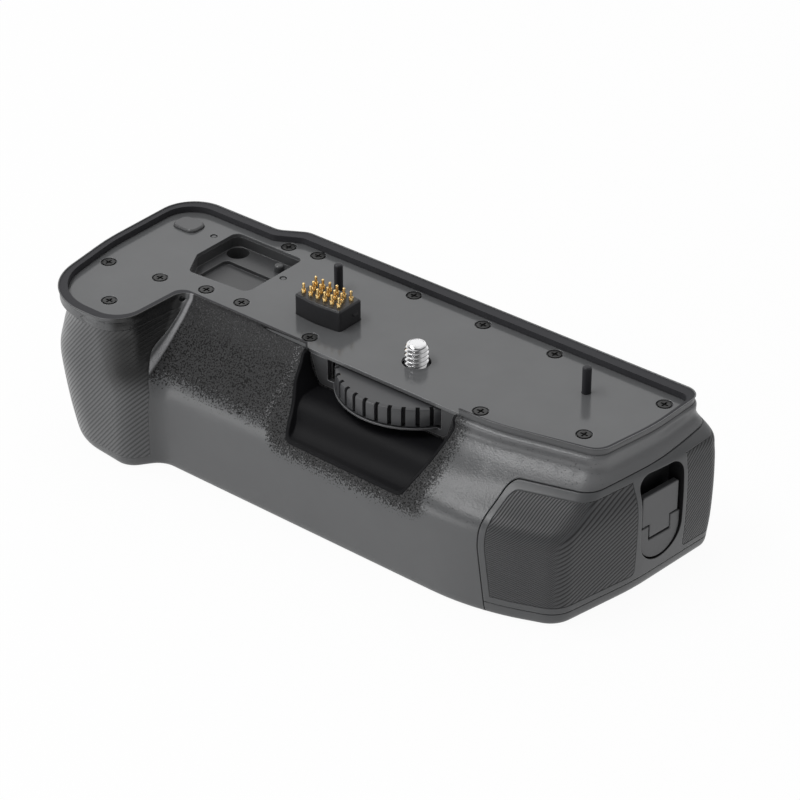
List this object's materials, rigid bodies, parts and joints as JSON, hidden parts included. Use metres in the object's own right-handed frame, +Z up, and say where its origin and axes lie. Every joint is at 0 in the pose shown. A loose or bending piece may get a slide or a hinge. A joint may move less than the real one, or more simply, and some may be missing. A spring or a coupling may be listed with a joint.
{
  "type": "camera battery grip",
  "caption": "Battery grip that screws under a camera: plate with thumb wheel, screw, pins and sprung contacts, finger lobe, and a pull-out battery tray behind a latched cap.",
  "frame": {"origin": "mouth centre of the tripod socket in the underside, on the plane that the grip stands on", "axes": "+X towards the battery tray's cap, +Y towards the camera's back (the rear screen's side), +Z up towards the camera"},
  "size_m": [0.1774, 0.0709, 0.0498],
  "materials": {
    "housing": "textured",
    "leatherette": "leather grain",
    "plate_black": "satin",
    "gasket_rubber": "matte",
    "liner_black": "smooth satin",
    "cap_black": "satin",
    "latch_black": "satin",
    "connector_black": "satin",
    "wheel_black": "satin",
    "pin_black": "glossy black",
    "screw_black": "satin",
    "steel": "satin",
    "screw_steel": "bright",
    "gold_contact": "gold plated",
    "board_green": "satin",
    "bush_brass": "satin",
    "tray_grey": "matte"
  },
  "bodies": {
    "grip": {"main_shell": "housing", "top_plate": "plate_black", "rim_gasket": "gasket_rubber", "locating_pin_left": "pin_black", "locating_pin_right": "pin_black", "plate_bumper": "gasket_rubber", "storage_insert": "liner_black", "storage_peg": "liner_black", "connector_block": "connector_black", "contact_barrels": "gold_contact", "circuit_board": "board_green", "screw_bush": "bush_brass", "wheel_panel": "plate_black", "thumb_scoop": "liner_black", "grip_skin": "leatherette", "chassis_plate": "steel", "tripod_insert": "steel", "bay_contact_block": "connector_black", "bay_contacts": "gold_contact", "plate_screw_01": "screw_black", "plate_screw_02": "screw_black", "plate_screw_03": "screw_black", "plate_screw_04": "screw_black", "plate_screw_05": "screw_black", "plate_screw_06": "screw_black", "plate_screw_07": "screw_black", "plate_screw_08": "screw_black", "plate_screw_09": "screw_black", "plate_screw_10": "screw_black", "plate_screw_11": "screw_black", "plate_screw_12": "screw_black", "plate_screw_13": "screw_black", "plate_screw_14": "screw_black", "base_screw_1": "steel", "base_screw_2": "steel", "base_screw_3": "steel", "base_screw_4": "steel"},
    "wheel": {"thumb_wheel": "wheel_black", "tripod_screw": "screw_steel", "retaining_ring": "steel"},
    "contact": {"contact_plungers": "gold_contact"},
    "tray": {"battery_tray": "tray_grey", "tray_blades": "gold_contact", "tray_cap": "cap_black", "tray_sill": "cap_black", "cap_pad_front": "leatherette", "cap_pad_rear": "leatherette", "latch_hub": "latch_black", "latch_pin": "steel", "tray_screw_1": "steel", "tray_screw_2": "steel"},
    "lever": {"latch_lever": "latch_black"}
  },
  "joints": [
    {"name": "wheel_turn", "type": "hinge", "parent": "grip", "child": "wheel", "pos_m": [0, 0, 0.037], "axis": [0, 0, 1], "continuous": true},
    {"name": "contact_press", "type": "slide", "parent": "grip", "child": "contact", "axis": [0, 0, -1], "range_m": [0, 0.0012], "stiffness_N_per_m": 8500},
    {"name": "tray_slide", "type": "slide", "parent": "grip", "child": "tray", "axis": [1, 0, 0], "range_m": [0, 0.15]},
    {"name": "lever_swing", "type": "hinge", "parent": "tray", "child": "lever", "pos_m": [0.06999, 0.00961, 0.0143], "axis": [0.1219, 0.9925, 0], "range_deg": [0, 100]}
  ]
}
